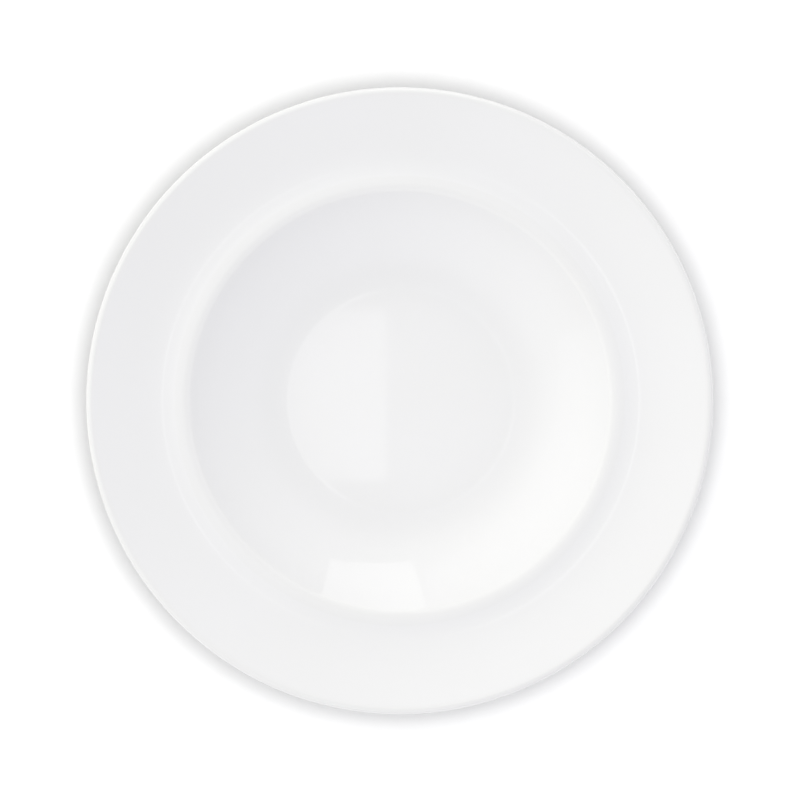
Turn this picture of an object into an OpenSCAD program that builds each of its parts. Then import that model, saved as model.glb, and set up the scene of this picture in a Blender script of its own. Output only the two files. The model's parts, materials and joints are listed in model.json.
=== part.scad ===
// Rimmed soup plate in glazed porcelain: a deep round well with a flat floor, a
// raised shoulder, a wide dished rim with a rounded lip, and a bare foot ring.
// Millimetres, +Z up, origin on the table at the centre of the foot ring.

/* [Rim] */
// Diameter over the lip
plate_d = 230; // [205:1:280]
// Thickness of the ware at the lip, which is rounded over
lip_t = 3.6; // [2.6:0.1:4.6]
// Height of the lip above the shoulder's crest
rim_rise = 6.4; // [3:0.1:12]
// Slope of the rim where it meets the lip, in degrees
rim_slope = 19; // [8:1:26]

/* [Shoulder] */
// Diameter of the shoulder's crest, where the rim turns down into the well
well_d = 160; // [130:1:170]
// Radius of the shoulder on the well's side of its crest
shoulder_r = 5; // [3:0.1:7]
// Radius of the shoulder on the rim's side of its crest
brow_r = 14; // [8:0.5:20]
// Outward fall of the rim just behind the shoulder, in degrees
shoulder_fall = 12; // [3:1:16]

/* [Well] */
// Depth of the well below the shoulder's crest
well_depth = 18.5; // [14:0.5:26]
// Slope of the well's wall where it meets the shoulder, in degrees
wall_slope = 41; // [34:1:52]
// Diameter of the flat floor
floor_d = 83; // [56:1:92]
// Thickness of the ware at the floor
floor_t = 4.6; // [3.6:0.1:6]

/* [Foot] */
// Diameter of the foot ring at the middle of its standing face
foot_d = 92; // [76:1:108]
// Width of the flat standing face
foot_w = 3; // [2:0.1:5]
// Rounding of the standing face's two edges
foot_edge_r = 0.5; // [0.2:0.1:0.7]
// Draft of the foot ring's sides, in degrees
foot_draft = 12; // [4:1:20]
// Reach of the curve from the foot ring's outside into the underside
foot_blend = 5; // [3:0.1:8]
// Depth of the recess inside the foot ring
recess_h = 2.6; // [2.2:0.1:4]
// Reach of the curve from the foot ring's inside into the recess
recess_blend = 2.4; // [1.5:0.1:5]

/* [Glaze] */
// Thickness of the glaze
glaze_t = 0.25; // [0.15:0.01:0.4]
// Bare band on each side of the foot ring, from the rounded edge to the glaze
bare_band = 0.4; // [0.2:0.1:0.6]

/* [Hidden] */

// Chords in each curve of the outline, and in a full turn
curve_steps = 16;
$fn = 180;

plate_r = plate_d / 2;
lip_r = lip_t / 2;
well_r = well_d / 2;
floor_r = floor_d / 2;
foot_out_r = foot_d / 2 + foot_w / 2;
foot_in_r = foot_d / 2 - foot_w / 2;

floor_z = recess_h + floor_t;
crest_z = floor_z + well_depth;
plate_h = crest_z + rim_rise;

// Width on each side of the shoulder where the underside rounds its own corner
under_round = lip_t + shoulder_r * sin(wall_slope) / 2;
// The foot's outer curve takes up at most half of the underside's wall
foot_reach = min(foot_blend, (well_r - under_round - foot_out_r) / 2);

// Lengths of the two ends of each free curve's tangents, as shares of its span
wall_leads = [0.2, 0.5];
rim_leads = [0.2, 0.55];
even_leads = [0.36, 0.36];

// The outline is walked from the axis over the top, the lip and the underside
// to the foot, and back to the axis through the recess. A station is a point on
// it and the heading there, in degrees, so the air always lies on the left.

function mix(a, b, t) = a + (b - a) * t;
function ease(t) = t * t * (3 - 2 * t);
function ahead(heading) = [cos(heading), sin(heading)];
function left_of(heading) = [-sin(heading), cos(heading)];
function reversed(list) = [for (i = [len(list) - 1 : -1 : 0]) list[i]];
function last(list) = list[len(list) - 1];
function but_first(list) = [for (i = [1 : len(list) - 1]) list[i]];

// The points a distance to the left of each station
function shifted(stations, distance) =
    [for (s = stations) s[0] + distance * left_of(s[1])];

// A right-hand arc between two headings, without its first station
function turn(centre, r, from, to) =
    [for (i = [1 : curve_steps])
        let (heading = mix(from, to, i / curve_steps))
        [centre + r * left_of(heading), heading]];

// A smooth free curve between two stations, without its first one
function bend(from, to, leads) =
    let (span = norm(to[0] - from[0]),
         a = from[0],
         b = a + leads[0] * span * ahead(from[1]),
         d = to[0],
         c = d - leads[1] * span * ahead(to[1]))
    [for (i = [1 : curve_steps])
        let (t = i / curve_steps,
             u = 1 - t,
             way = u * u * (b - a) + 2 * u * t * (c - b) + t * t * (d - c))
        [u * u * u * a + 3 * u * u * t * b + 3 * u * t * t * c + t * t * t * d,
         atan2(way.y, way.x)]];

// Top of the plate, from the axis to the start of the lip
floor_line = [[[0, floor_z], 0], [[floor_r, floor_z], 0]];
shoulder_centre = [well_r, crest_z - shoulder_r];
brow_centre = [well_r, crest_z - brow_r];
wall_end = [shoulder_centre + shoulder_r * left_of(wall_slope), wall_slope];
wall_line = bend(last(floor_line), wall_end, wall_leads);
shoulder_line = concat(turn(shoulder_centre, shoulder_r, wall_slope, 0),
    turn(brow_centre, brow_r, 0, -shoulder_fall));
lip_centre = [plate_r - lip_r, plate_h - lip_r];
rim_end = [lip_centre + lip_r * left_of(rim_slope), rim_slope];
rim_line = bend(last(shoulder_line), rim_end, rim_leads);
lip_line = turn(lip_centre, lip_r, rim_slope, rim_slope - 180);

// Thickness of the ware at a radius: even at the floor and towards the lip
function ware_t(r) =
    mix(floor_t, lip_t, ease(min(1, max(0, (r - floor_r) / (rim_end[0].x - floor_r)))));

// The station on the underside that faces a station on the top
function under(s) = [s[0] - ware_t(s[0].x) * left_of(s[1]), s[1] + 180];

// Outer side of the foot ring in bare ware, walked down to the table, and its
// inner side, walked up from the table
foot_down = 270 - foot_draft;
foot_up = 90 + foot_draft;
outer_edge_centre = [foot_out_r, foot_edge_r];
inner_edge_centre = [foot_in_r, foot_edge_r];
outer_edge_top = [outer_edge_centre + foot_edge_r * left_of(foot_down), foot_down];
inner_edge_foot = [inner_edge_centre + foot_edge_r * left_of(180), 180];
foot_line = concat(
    [outer_edge_top], turn(outer_edge_centre, foot_edge_r, foot_down, 180),
    [inner_edge_foot], turn(inner_edge_centre, foot_edge_r, 180, foot_up));
outer_bare_end = outer_edge_top[0] - bare_band * ahead(foot_down);
inner_bare_end = last(foot_line)[0] + bare_band * ahead(foot_up);

// Underside of the plate, from the lip to the glaze line on the foot ring
rim_under = [for (s = reversed(rim_line))
    if (s[0].x > well_r + under_round && s[0].x < rim_end[0].x) under(s)];
wall_under = [for (s = reversed(concat(floor_line, wall_line)))
    let (u = under(s))
    if (s[0].x < well_r - under_round && u[0].x > foot_out_r + foot_reach) u];
shoulder_under = bend(last(concat(lip_line, rim_under)), wall_under[0], even_leads);
outer_glaze_line = [outer_bare_end + glaze_t * left_of(foot_down), foot_down];
foot_under = bend(last(wall_under), outer_glaze_line, even_leads);

// Glazed skin outside the foot ring, and inside it
plate_skin = concat(floor_line, wall_line, shoulder_line, rim_line, lip_line,
    rim_under, shoulder_under, but_first(wall_under), foot_under);
inner_glaze_line = [inner_bare_end + glaze_t * left_of(foot_up), foot_up];
recess_edge = [[foot_in_r - recess_blend, recess_h], 180];
recess_skin = concat([inner_glaze_line],
    bend(inner_glaze_line, recess_edge, even_leads), [[[0, recess_h], 180]]);

// Turns the closed coat of glaze that covers a stretch of the skin
module glaze_over(skin) {
    rotate_extrude()
        polygon(concat(shifted(skin, 0), reversed(shifted(skin, -glaze_t))));
}

// The fired clay under both coats, bare on the foot ring's standing face
module porcelain_body() {
    color("ghostwhite")
        rotate_extrude()
            polygon(concat(shifted(plate_skin, -glaze_t), shifted(foot_line, 0),
                shifted(recess_skin, -glaze_t)));
}

// The coat over the well, rim, lip and underside, down to the foot ring
module plate_glaze() {
    color("white")
        glaze_over(plate_skin);
}

// The separate patch of glaze inside the foot ring
module recess_glaze() {
    color("white")
        glaze_over(recess_skin);
}

porcelain_body();
plate_glaze();
recess_glaze();
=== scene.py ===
"""Looks of a rimmed soup plate in white glazed porcelain, softly lit and seen from straight above."""

import cmath
import json
import math

import bpy
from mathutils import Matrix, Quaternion, Vector


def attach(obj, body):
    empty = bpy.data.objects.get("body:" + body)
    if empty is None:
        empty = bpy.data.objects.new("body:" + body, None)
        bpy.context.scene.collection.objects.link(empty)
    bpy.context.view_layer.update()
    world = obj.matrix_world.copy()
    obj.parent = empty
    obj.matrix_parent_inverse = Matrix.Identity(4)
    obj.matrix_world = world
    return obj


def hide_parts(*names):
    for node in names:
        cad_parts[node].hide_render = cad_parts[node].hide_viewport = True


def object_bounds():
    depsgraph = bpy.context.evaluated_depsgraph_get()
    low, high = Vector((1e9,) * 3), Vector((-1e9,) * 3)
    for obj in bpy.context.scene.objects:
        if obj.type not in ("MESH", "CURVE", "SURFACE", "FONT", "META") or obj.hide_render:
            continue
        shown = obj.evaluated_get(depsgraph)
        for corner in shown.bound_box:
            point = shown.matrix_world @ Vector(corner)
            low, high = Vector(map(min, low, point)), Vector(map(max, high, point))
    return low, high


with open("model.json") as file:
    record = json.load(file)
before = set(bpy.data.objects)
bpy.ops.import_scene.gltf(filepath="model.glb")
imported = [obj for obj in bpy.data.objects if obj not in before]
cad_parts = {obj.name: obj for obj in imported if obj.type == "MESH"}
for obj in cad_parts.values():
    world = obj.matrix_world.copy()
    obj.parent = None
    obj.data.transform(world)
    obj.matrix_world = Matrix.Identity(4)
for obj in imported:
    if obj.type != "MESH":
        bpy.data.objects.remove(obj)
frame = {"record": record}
cad_low, cad_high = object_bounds()

MM = 0.001

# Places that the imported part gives, in metres
mounts = {mount["name"]: mount["pos_m"] for mount in frame["record"]["mounts"]}
PLATE_R = (cad_high.x - cad_low.x) / 2
PLATE_H = cad_high.z
FLOOR_Z = mounts["well_floor"][2]
FOOT_R = mounts["foot_face"][0]

# Sizes of the outline, which are the solids' own: slopes are in degrees, and leads
# are the lengths of a free curve's two end tangents, as shares of its span
LIP_T = 3.6 * MM
RIM_RISE = 6.4 * MM
RIM_SLOPE = 19
WELL_R = 80 * MM
SHOULDER_R = 5 * MM
BROW_R = 14 * MM
SHOULDER_FALL = 12
WALL_SLOPE = 41
FLOOR_R = 41.5 * MM
FLOOR_T = 4.6 * MM
FOOT_W = 3 * MM
FOOT_EDGE_R = 0.5 * MM
FOOT_DRAFT = 12
FOOT_BLEND = 5 * MM
RECESS_BLEND = 2.4 * MM
GLAZE_T = 0.25 * MM
BARE_BAND = 0.4 * MM
WALL_LEADS = (0.2, 0.5)
RIM_LEADS = (0.2, 0.55)
EVEN_LEADS = (0.36, 0.36)

# Fineness of the turned meshes: steps round the axis and along each line
SEGMENTS = 256
CURVE_STEPS = 40
ARC_STEPS = 20
FLOOR_STEPS = 30
# The covered side of the glaze keeps one station in this many
COVERED_THINNING = 4
# Edges that bend by more degrees than this are shaded sharp
SHARP_EDGE = 40

# Sag of the rim in two places, and the angle, in degrees, where it keeps its full height
RIM_SAG = 0.25 * MM
RIM_HIGH_AT = 65

# Faint rings that the turning tool leaves on the wall and the rim: how deep they are, how
# far apart, and the height, pace and start of a slower wave that makes them uneven
RING_DEPTH = 0.003 * MM
RING_PITCH = 5.2 * MM
RING_DRIFT = 0.6
RING_DRIFT_PACE = 0.37
RING_DRIFT_START = 1

# Roll of glaze above the bare foot
ROLL_T = 0.12 * MM
ROLL_REACH = 1.6 * MM

# Depth of the pooled glaze on an even face, on a scale from 0 to 1, and the radius of a
# bend over which it clearly runs thin or gathers
EVEN_POOL = 0.5
POOL_REACH = 6 * MM


# Outline. A point is a complex number, radius plus height times i. A station is
# a point and the heading there in degrees, and the air lies on its left.


def ahead(heading):
    return cmath.rect(1, math.radians(heading))


def left_of(heading):
    return 1j * ahead(heading)


def mix(a, b, t):
    return a + (b - a) * t


def ease(t):
    t = min(1, max(0, t))
    return t * t * (3 - 2 * t)


def shifted(stations, distance):
    return [point + distance * left_of(heading) for point, heading in stations]


def straight(start, end, heading, steps):
    """Stations along a straight line, with both its ends."""
    return [(mix(start, end, i / steps), heading) for i in range(steps + 1)]


def turn(centre, radius, start, end):
    """A right-hand arc between two headings, without its first station."""
    headings = [mix(start, end, i / ARC_STEPS) for i in range(1, ARC_STEPS + 1)]
    return [(centre + radius * left_of(heading), heading) for heading in headings]


def bend(start, end, leads):
    """A smooth free curve between two stations, without its first one."""
    span = abs(end[0] - start[0])
    a, d = start[0], end[0]
    b = a + leads[0] * span * ahead(start[1])
    c = d - leads[1] * span * ahead(end[1])
    stations = []
    for i in range(1, CURVE_STEPS + 1):
        t = i / CURVE_STEPS
        u = 1 - t
        point = u ** 3 * a + 3 * u * u * t * b + 3 * u * t * t * c + t ** 3 * d
        way = u * u * (b - a) + 2 * u * t * (c - b) + t * t * (d - c)
        stations.append((point, math.degrees(cmath.phase(way))))
    return stations


def ware_t(radius, rim_end_r):
    """Thickness of the ware: even at the floor and towards the lip."""
    return mix(FLOOR_T, LIP_T, ease((radius - FLOOR_R) / (rim_end_r - FLOOR_R)))


def plate_outline():
    """The top, the glazed underside, the bare foot and the recess, as four runs of stations."""
    crest_z = PLATE_H - RIM_RISE
    recess_h = FLOOR_Z - FLOOR_T
    lip_r = LIP_T / 2
    foot_out_r = FOOT_R + FOOT_W / 2
    foot_in_r = FOOT_R - FOOT_W / 2
    under_round = LIP_T + SHOULDER_R * math.sin(math.radians(WALL_SLOPE)) / 2

    floor = straight(1j * FLOOR_Z, FLOOR_R + 1j * FLOOR_Z, 0, FLOOR_STEPS)
    shoulder_centre = WELL_R + 1j * (crest_z - SHOULDER_R)
    wall_end = (shoulder_centre + SHOULDER_R * left_of(WALL_SLOPE), WALL_SLOPE)
    wall = bend(floor[-1], wall_end, WALL_LEADS)
    brow_centre = WELL_R + 1j * (crest_z - BROW_R)
    shoulder = turn(shoulder_centre, SHOULDER_R, WALL_SLOPE, 0)
    shoulder += turn(brow_centre, BROW_R, 0, -SHOULDER_FALL)
    lip_centre = PLATE_R - lip_r + 1j * (PLATE_H - lip_r)
    rim_end = (lip_centre + lip_r * left_of(RIM_SLOPE), RIM_SLOPE)
    rim = bend(shoulder[-1], rim_end, RIM_LEADS)
    lip = turn(lip_centre, lip_r, RIM_SLOPE, RIM_SLOPE - 180)

    def under(station):
        point, heading = station
        thickness = ware_t(point.real, rim_end[0].real)
        return point - thickness * left_of(heading), heading + 180

    foot_down = 270 - FOOT_DRAFT
    foot_up = 90 + FOOT_DRAFT
    outer_centre = foot_out_r + 1j * FOOT_EDGE_R
    inner_centre = foot_in_r + 1j * FOOT_EDGE_R
    foot = [(outer_centre + FOOT_EDGE_R * left_of(foot_down), foot_down)]
    foot += turn(outer_centre, FOOT_EDGE_R, foot_down, 180)
    foot += straight(foot_out_r + 0j, foot_in_r + 0j, 180, ARC_STEPS)[1:]
    foot += turn(inner_centre, FOOT_EDGE_R, 180, foot_up)
    outer_bare_end = foot[0][0] - BARE_BAND * ahead(foot_down)
    inner_bare_end = foot[-1][0] + BARE_BAND * ahead(foot_up)

    rim_under = [under(s) for s in reversed(rim[:-1]) if s[0].real > WELL_R + under_round]
    wall_under = [under(s) for s in reversed(wall) if s[0].real < WELL_R - under_round]
    wall_under = [s for s in wall_under if s[0].real > foot_out_r + FOOT_BLEND]
    shoulder_under = bend(rim_under[-1], wall_under[0], EVEN_LEADS)
    outer_line = (outer_bare_end + GLAZE_T * left_of(foot_down), foot_down)
    foot_under = bend(wall_under[-1], outer_line, EVEN_LEADS)

    top = floor + wall + shoulder + rim
    bottom = lip + rim_under + shoulder_under + wall_under[1:] + foot_under
    inner_line = (inner_bare_end + GLAZE_T * left_of(foot_up), foot_up)
    recess_edge = (foot_in_r - RECESS_BLEND + 1j * recess_h, 180)
    recess = [inner_line] + bend(inner_line, recess_edge, EVEN_LEADS)
    recess += straight(recess_edge[0], 1j * recess_h, 180, FLOOR_STEPS)[1:]
    return top, bottom, foot, recess


def arc_lengths(points):
    """How far along a line of points each one lies."""
    lengths = [0]
    for a, b in zip(points, points[1:]):
        lengths.append(lengths[-1] + abs(b - a))
    return lengths


def thinned(stations):
    """Fewer stations for a covered side, always with the last one."""
    kept = stations[::COVERED_THINNING]
    return kept if kept[-1] is stations[-1] else kept + stations[-1:]


def pooling(stations):
    """How thick the glaze lies, from 0 on a sharp edge to 1 in a hollow."""
    depths = []
    for i in range(len(stations)):
        before = stations[max(0, i - 1)]
        after = stations[min(len(stations) - 1, i + 1)]
        swing = (after[1] - before[1] + 180) % 360 - 180
        bend_rate = math.radians(swing) / abs(after[0] - before[0])
        depths.append(EVEN_POOL * (1 + math.tanh(bend_rate * POOL_REACH)))
    return depths


# Meshes


def sagged(point, angle):
    """Where a point of the outline lies at an angle round the plate."""
    share = ease((point.real - WELL_R) / (PLATE_R - WELL_R))
    drop = RIM_SAG * share * (1 - math.cos(2 * (angle - math.radians(RIM_HIGH_AT)))) / 2
    return (
        point.real * math.cos(angle),
        point.real * math.sin(angle),
        point.imag - drop,
    )


def turned(name, points, depths, material):
    """A closed turned piece; its line of points starts and ends on the axis."""
    angles = [2 * math.pi * i / SEGMENTS for i in range(SEGMENTS)]
    vertices = [sagged(points[0], 0)]
    values = [depths[0]]
    for point, depth in zip(points[1:-1], depths[1:-1]):
        vertices += [sagged(point, angle) for angle in angles]
        values += [depth] * SEGMENTS
    vertices.append(sagged(points[-1], 0))
    values.append(depths[-1])
    rings = len(points) - 2
    last = len(vertices) - 1
    faces = []
    for i in range(SEGMENTS):
        j = (i + 1) % SEGMENTS
        faces.append((0, 1 + i, 1 + j))
        for ring in range(rings - 1):
            here = 1 + ring * SEGMENTS
            there = here + SEGMENTS
            faces.append((here + i, there + i, there + j, here + j))
        end = 1 + (rings - 1) * SEGMENTS
        faces.append((end + i, last, end + j))
    mesh = bpy.data.meshes.new(name)
    mesh.from_pydata(vertices, [], faces)
    mesh.attributes.new("pool", "FLOAT", "POINT").data.foreach_set("value", values)
    mesh.shade_smooth()
    mesh.set_sharp_from_angle(angle=math.radians(SHARP_EDGE))
    mesh.materials.append(material)
    piece = bpy.data.objects.new(name, mesh)
    bpy.context.scene.collection.objects.link(piece)
    return piece


def ringed(stations):
    """The top's points with the faint rings that the turning tool leaves beyond the flat floor."""
    lengths = arc_lengths(shifted(stations, 0))
    points = []
    for (point, heading), length in zip(stations, lengths):
        phase = 2 * math.pi * length / RING_PITCH
        height = math.sin(phase) + RING_DRIFT * math.sin(phase * RING_DRIFT_PACE + RING_DRIFT_START)
        fade = ease((length - FLOOR_R) / RING_PITCH) * ease((lengths[-1] - length) / RING_PITCH)
        dip = RING_DEPTH * fade * (1 + RING_DRIFT - height)
        points.append(point - dip * left_of(heading))
    return points


def rolled(stations):
    """A skin's points with the roll of thicker glaze at its lower edge, its last station."""
    lengths = arc_lengths(shifted(stations, 0))
    points = []
    for (point, heading), length in zip(stations, lengths):
        t = min(1, (lengths[-1] - length) / ROLL_REACH)
        swell = ROLL_T * math.sin(math.pi * t) ** 2
        points.append(point + swell * left_of(heading))
    return points


def add_plate(glaze, bisque):
    """The body and both coats of glaze, each in place of its solid."""
    top, bottom, foot, recess = plate_outline()
    skin = top + bottom
    covered = thinned(skin)
    outside = recess[::-1]
    covered_recess = thinned(outside)

    coat_line = ringed(top) + rolled(bottom) + shifted(covered, -GLAZE_T)[::-1]
    coat_depths = pooling(skin) + [EVEN_POOL] * len(covered)

    patch_line = rolled(outside) + shifted(covered_recess, -GLAZE_T)[::-1]
    patch_depths = pooling(outside) + [EVEN_POOL] * len(covered_recess)

    body_line = shifted(covered, -GLAZE_T) + shifted(foot, 0)
    body_line += shifted(covered_recess, -GLAZE_T)[::-1]
    body_depths = [EVEN_POOL] * len(body_line)

    pieces = (
        ("plate_coat", coat_line, coat_depths, glaze, "plate_glaze", "white_glaze"),
        ("recess_patch", patch_line[::-1], patch_depths[::-1], glaze, "recess_glaze", "white_glaze"),
        ("clay_body", body_line, body_depths, bisque, "porcelain_body", "bare_porcelain"),
    )
    made = []
    for name, line, values, material, node, slot in pieces:
        piece = turned(name, line, values, material)
        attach(piece, "root")
        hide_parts(node)
        made.append(piece)
    return made


# Materials. Lengths are in metres, and colours are linear red, green and blue. A noise
# is the size of its blotches and how many finer layers lie on them.

# Range that holds most of a noise's values
NOISE_RANGE = (0.3, 0.7)

# Glaze: the clay shows faintly where it runs thin over an edge, and it is whiter where it
# pools; clouds shift its depth by a share, and smears vary its gloss
THIN_WHITE = (0.887, 0.886, 0.88, 1)
POOLED_WHITE = (0.912, 0.912, 0.917, 1)
GLAZE_IOR = 1.5
GLAZE_ROUGHNESS = (0.02, 0.045)
CLOUDS = (45 * MM, 3)
CLOUD_SHARE = 0.18
SMEARS = (14 * MM, 4)
RIPPLES = (7 * MM, 0)
RIPPLE_H = 0.0012 * MM
PEEL = (0.9 * MM, 1)
PEEL_H = 0.00012 * MM

# Bare clay: warm white, ground flat on a wheel, greyer and smoother in patches where tables
# rub it, and least so in the grooves from grinding
CLAY_PALE = (0.83, 0.815, 0.78, 1)
CLAY_WARM = (0.775, 0.745, 0.695, 1)
CLAY_RUBBED = (0.6, 0.585, 0.56, 1)
CLAY_ROUGHNESS = (0.8, 0.62)
GRAIN = (0.35 * MM, 3)
GRAIN_H = 0.012 * MM
GRIND_PITCH = 0.3 * MM
GRIND_H = 0.006 * MM
RUBS = (9 * MM, 4)
RUB_RANGE = (0.5, 0.7)
RUB_MOST = 0.7
RUB_IN_GROOVES = 0.2


def new_material(name):
    material = bpy.data.materials.new(name)
    material.use_nodes = True
    tree = material.node_tree
    tree.nodes.clear()
    return material, tree.nodes, tree.links


def new_ceramic(name):
    """A material with one shader, and the piece's own places for its textures."""
    material, nodes, links = new_material(name)
    shader = nodes.new("ShaderNodeBsdfPrincipled")
    output = nodes.new("ShaderNodeOutputMaterial")
    links.new(shader.outputs["BSDF"], output.inputs["Surface"])
    where = nodes.new("ShaderNodeTexCoord").outputs["Object"]
    return material, nodes, links, shader, where


def noise(nodes, links, where, size, layers):
    """A noise from 0 to 1 with blotches of a size and finer layers on them."""
    node = nodes.new("ShaderNodeTexNoise")
    node.inputs["Scale"].default_value = 1 / size
    node.inputs["Detail"].default_value = layers
    links.new(where, node.inputs["Vector"])
    return node.outputs["Fac"]


def spread(nodes, links, value, result, held=NOISE_RANGE):
    """A value stretched from one range to another, and held there."""
    node = nodes.new("ShaderNodeMapRange")
    links.new(value, node.inputs["Value"])
    node.inputs["From Min"].default_value = held[0]
    node.inputs["From Max"].default_value = held[1]
    node.inputs["To Min"].default_value = result[0]
    node.inputs["To Max"].default_value = result[1]
    return node.outputs["Result"]


def blend(nodes, links, factor, first, second):
    """Two colours mixed; the first may be the output of another blend."""
    node = nodes.new("ShaderNodeMix")
    node.data_type = "RGBA"
    links.new(factor, node.inputs["Factor"])
    if isinstance(first, tuple):
        node.inputs["A"].default_value = first
    else:
        links.new(first, node.inputs["A"])
    node.inputs["B"].default_value = second
    return node.outputs["Result"]


def bump(nodes, links, height, distance, normal=None):
    """A bump of a real height, on top of another one where it is given."""
    node = nodes.new("ShaderNodeBump")
    node.inputs["Distance"].default_value = distance
    links.new(height, node.inputs["Height"])
    if normal:
        links.new(normal, node.inputs["Normal"])
    return node.outputs["Normal"]


def make_glaze():
    """White glossy glaze: the clay shows faintly where it is thin, and it is whiter where it pools."""
    material, nodes, links, shader, where = new_ceramic("white_glaze")

    pool = nodes.new("ShaderNodeAttribute")
    pool.attribute_name = "pool"
    clouds = noise(nodes, links, where, *CLOUDS)
    depth = nodes.new("ShaderNodeMath")
    depth.operation = "MULTIPLY_ADD"
    depth.use_clamp = True
    links.new(spread(nodes, links, clouds, (-1, 1)), depth.inputs[0])
    depth.inputs[1].default_value = CLOUD_SHARE
    links.new(pool.outputs["Fac"], depth.inputs[2])
    white = blend(nodes, links, depth.outputs[0], THIN_WHITE, POOLED_WHITE)
    links.new(white, shader.inputs["Base Color"])

    smears = noise(nodes, links, where, *SMEARS)
    links.new(spread(nodes, links, smears, GLAZE_ROUGHNESS), shader.inputs["Roughness"])
    shader.inputs["IOR"].default_value = GLAZE_IOR

    ripple = bump(nodes, links, noise(nodes, links, where, *RIPPLES), RIPPLE_H)
    peel = bump(nodes, links, noise(nodes, links, where, *PEEL), PEEL_H, ripple)
    links.new(peel, shader.inputs["Normal"])
    return material


def make_bisque():
    """Bare fired clay: grain, rings from grinding it flat, and rubbed grey patches."""
    material, nodes, links, shader, where = new_ceramic("bare_porcelain")

    grain = noise(nodes, links, where, *GRAIN)
    rubs = noise(nodes, links, where, *RUBS)
    flat = nodes.new("ShaderNodeVectorMath")
    flat.operation = "MULTIPLY"
    flat.inputs[1].default_value = (1, 1, 0)
    links.new(where, flat.inputs[0])
    radius = nodes.new("ShaderNodeVectorMath")
    radius.operation = "LENGTH"
    links.new(flat.outputs["Vector"], radius.inputs[0])
    rings = nodes.new("ShaderNodeTexNoise")
    rings.noise_dimensions = "1D"
    rings.inputs["Scale"].default_value = 1 / GRIND_PITCH
    links.new(radius.outputs["Value"], rings.inputs["W"])
    ridges = rings.outputs["Fac"]

    clay = blend(nodes, links, spread(nodes, links, grain, (0, 1)), CLAY_PALE, CLAY_WARM)
    rubbed = nodes.new("ShaderNodeMath")
    rubbed.operation = "MULTIPLY"
    links.new(spread(nodes, links, rubs, (0, RUB_MOST), RUB_RANGE), rubbed.inputs[0])
    links.new(spread(nodes, links, ridges, (RUB_IN_GROOVES, 1)), rubbed.inputs[1])
    colour = blend(nodes, links, rubbed.outputs[0], clay, CLAY_RUBBED)
    links.new(colour, shader.inputs["Base Color"])
    links.new(spread(nodes, links, rubs, CLAY_ROUGHNESS), shader.inputs["Roughness"])

    ground = bump(nodes, links, ridges, GRIND_H)
    links.new(bump(nodes, links, grain, GRAIN_H, ground), shader.inputs["Normal"])
    return material


# Stage

# Photo, in pixels: half its width, the plate's radius, and how far the plate lies from its
# middle; and how far above the lip the camera stands, in metres
IMAGE_HALF_PX = 400
PLATE_EDGE_PX = 313.5
PLATE_LEFT_OF_CENTRE_PX = 0.3
PLATE_BELOW_CENTRE_PX = 0.75
CAMERA_DISTANCE = 1.4

# Light on the plate alone: name, middle of the panel, where it faces, how far it
# leans sideways in degrees, its width and height, and how bright it looks
PANELS = (
    ("window", (0.29, 1.735, 0.62), (0.258, -0.966, 0), 6, (0.98, 1.28), 1),
    ("side_wall", (-1.04, 0.6, 0.62), (0.866, -0.5, 0), 0, (3.05, 1.2), 0.27),
    ("ceiling_card", (-0.044, 0.004, 1.2), (0, 0, -1), 0, (0.07, 0.118), 0.88),
)

# Soft room light: how bright it is by height, from level to straight up, what is added
# towards the left, the way from the side wall's side to the far side, how far along it
# the colour changes, and the colour on both sides
ROOM_LIGHT = ((0, 0.46), (0.47, 1.275), (0.66, 1.275), (1, 0.41))
ROOM_LEAN = (-0.13, 0, 0)
ROOM_FAR_WAY = (0.8, -0.6, 0)
ROOM_TINT_RANGE = (-0.7, 0.7)
ROOM_NEAR_TINT = (1, 1, 0.974, 1)
ROOM_FAR_TINT = (0.968, 0.968, 1.01, 1)

# Floor: pale, a hair under the foot ring, and topped up to white by a glow that only
# camera, glossy and transmission rays see
FLOOR_PALE = (0.7, 0.7, 0.7, 1)
FLOOR_GLOW = 0.12
FLOOR_HALF = 3
FLOOR_GAP = 0.05 * MM

# Round lamp overhead that lights the floor alone and casts the plate's soft shadow on it
SHADOW_LAMP_AT = (0.0095, -0.0032, 0.688)
SHADOW_LAMP_D = 0.21
SHADOW_LAMP_POWER = 2.67


def add_camera():
    """A long lens straight above, with the lip's circle at its place in the picture."""
    lip_z = PLATE_H - LIP_T / 2
    pixel = PLATE_R / PLATE_EDGE_PX
    data = bpy.data.cameras.new("camera")
    data.lens = data.sensor_width / 2 * CAMERA_DISTANCE / (IMAGE_HALF_PX * pixel)
    camera = bpy.data.objects.new("camera", data)
    across = PLATE_LEFT_OF_CENTRE_PX * pixel
    along = PLATE_BELOW_CENTRE_PX * pixel
    camera.location = (across, along, lip_z + CAMERA_DISTANCE)
    bpy.context.scene.collection.objects.link(camera)
    bpy.context.scene.camera = camera


def add_lamp(name, shape, power, place, pieces):
    """An area lamp that the camera doesn't see and that lights these pieces alone."""
    data = bpy.data.lights.new(name, "AREA")
    data.shape = shape
    data.energy = power
    lamp = bpy.data.objects.new(name, data)
    lamp.location = place
    lamp.visible_camera = False
    bpy.context.scene.collection.objects.link(lamp)
    group = bpy.data.collections.new(name + "_lights")
    for piece in pieces:
        group.objects.link(piece)
    lamp.light_linking.receiver_collection = group
    return lamp


def add_panels(pieces):
    """The panels of light that the glaze mirrors."""
    for name, place, facing, lean, (width, height), brightness in PANELS:
        power = brightness * math.pi * width * height
        lamp = add_lamp(name, "RECTANGLE", power, place, pieces)
        lamp.data.size = width
        lamp.data.size_y = height
        aim = Vector(facing).to_track_quat("-Z", "Y")
        lamp.rotation_euler = (aim @ Quaternion((0, 0, 1), math.radians(lean))).to_euler()


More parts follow.
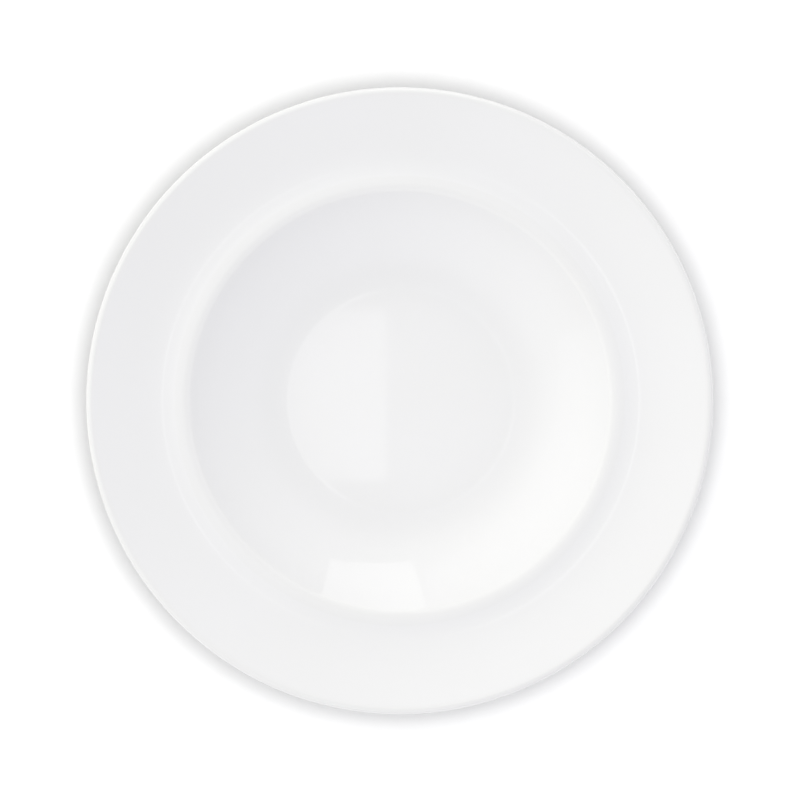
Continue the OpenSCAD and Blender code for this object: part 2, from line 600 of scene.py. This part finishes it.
def make_floor():
    """Matt and pale, with a glow for the rays that see it, so that it is white round the shadow."""
    material, nodes, links = new_material("floor")
    matt = nodes.new("ShaderNodeBsdfDiffuse")
    matt.inputs["Color"].default_value = FLOOR_PALE
    glow = nodes.new("ShaderNodeEmission")
    glow.inputs["Strength"].default_value = FLOOR_GLOW
    whitened = nodes.new("ShaderNodeAddShader")
    links.new(matt.outputs["BSDF"], whitened.inputs[0])
    links.new(glow.outputs["Emission"], whitened.inputs[1])

    rays = nodes.new("ShaderNodeLightPath")
    seen = rays.outputs["Is Camera Ray"]
    for kind in ("Is Glossy Ray", "Is Transmission Ray"):
        either = nodes.new("ShaderNodeMath")
        either.operation = "MAXIMUM"
        links.new(seen, either.inputs[0])
        links.new(rays.outputs[kind], either.inputs[1])
        seen = either.outputs[0]
    switch = nodes.new("ShaderNodeMixShader")
    links.new(seen, switch.inputs[0])
    links.new(matt.outputs["BSDF"], switch.inputs[1])
    links.new(whitened.outputs["Shader"], switch.inputs[2])
    output = nodes.new("ShaderNodeOutputMaterial")
    links.new(switch.outputs["Shader"], output.inputs["Surface"])
    return material


def add_floor():
    """A table just under the foot ring, and the lamp that casts the plate's shadow on it."""
    half = FLOOR_HALF
    low = -FLOOR_GAP
    corners = [(-half, -half, low), (half, -half, low), (half, half, low), (-half, half, low)]
    mesh = bpy.data.meshes.new("floor")
    mesh.from_pydata(corners, [], [(0, 1, 2, 3)])
    mesh.materials.append(make_floor())
    floor = bpy.data.objects.new("floor", mesh)
    bpy.context.scene.collection.objects.link(floor)

    lamp = add_lamp("shadow_lamp", "DISK", SHADOW_LAMP_POWER, SHADOW_LAMP_AT, [floor])
    lamp.data.size = SHADOW_LAMP_D


def pointing(nodes, links, way, direction):
    """How far a way points in a direction."""
    node = nodes.new("ShaderNodeVectorMath")
    node.operation = "DOT_PRODUCT"
    node.inputs[1].default_value = direction
    links.new(way, node.inputs[0])
    return node.outputs["Value"]


def add_world():
    """Room light that is dim overhead, brightest part of the way up, and brighter to the left."""
    world = bpy.data.worlds.new("world")
    world.use_nodes = True
    nodes, links = world.node_tree.nodes, world.node_tree.links
    sky = nodes["Background"]
    way = nodes.new("ShaderNodeTexCoord").outputs["Generated"]
    split = nodes.new("ShaderNodeSeparateXYZ")
    links.new(way, split.inputs[0])

    by_height = nodes.new("ShaderNodeValToRGB")
    by_height.color_ramp.interpolation = "EASE"
    brightest = max(level for height, level in ROOM_LIGHT)
    stops = by_height.color_ramp.elements
    while len(stops) < len(ROOM_LIGHT):
        stops.new(1)
    for stop, (height, level) in zip(stops, ROOM_LIGHT):
        grey = level / brightest
        stop.position = height
        stop.color = (grey, grey, grey, 1)
    links.new(split.outputs["Z"], by_height.inputs["Fac"])

    total = nodes.new("ShaderNodeMath")
    total.operation = "MULTIPLY_ADD"
    total.inputs[1].default_value = brightest
    links.new(by_height.outputs["Color"], total.inputs[0])
    links.new(pointing(nodes, links, way, ROOM_LEAN), total.inputs[2])
    links.new(total.outputs[0], sky.inputs["Strength"])

    far = pointing(nodes, links, way, ROOM_FAR_WAY)
    side = spread(nodes, links, far, (0, 1), ROOM_TINT_RANGE)
    links.new(blend(nodes, links, side, ROOM_NEAR_TINT, ROOM_FAR_TINT), sky.inputs["Color"])
    bpy.context.scene.world = world


plate_pieces = add_plate(make_glaze(), make_bisque())
add_camera()
add_panels(plate_pieces)
add_floor()
add_world()
bpy.context.scene.view_settings.view_transform = "Standard"
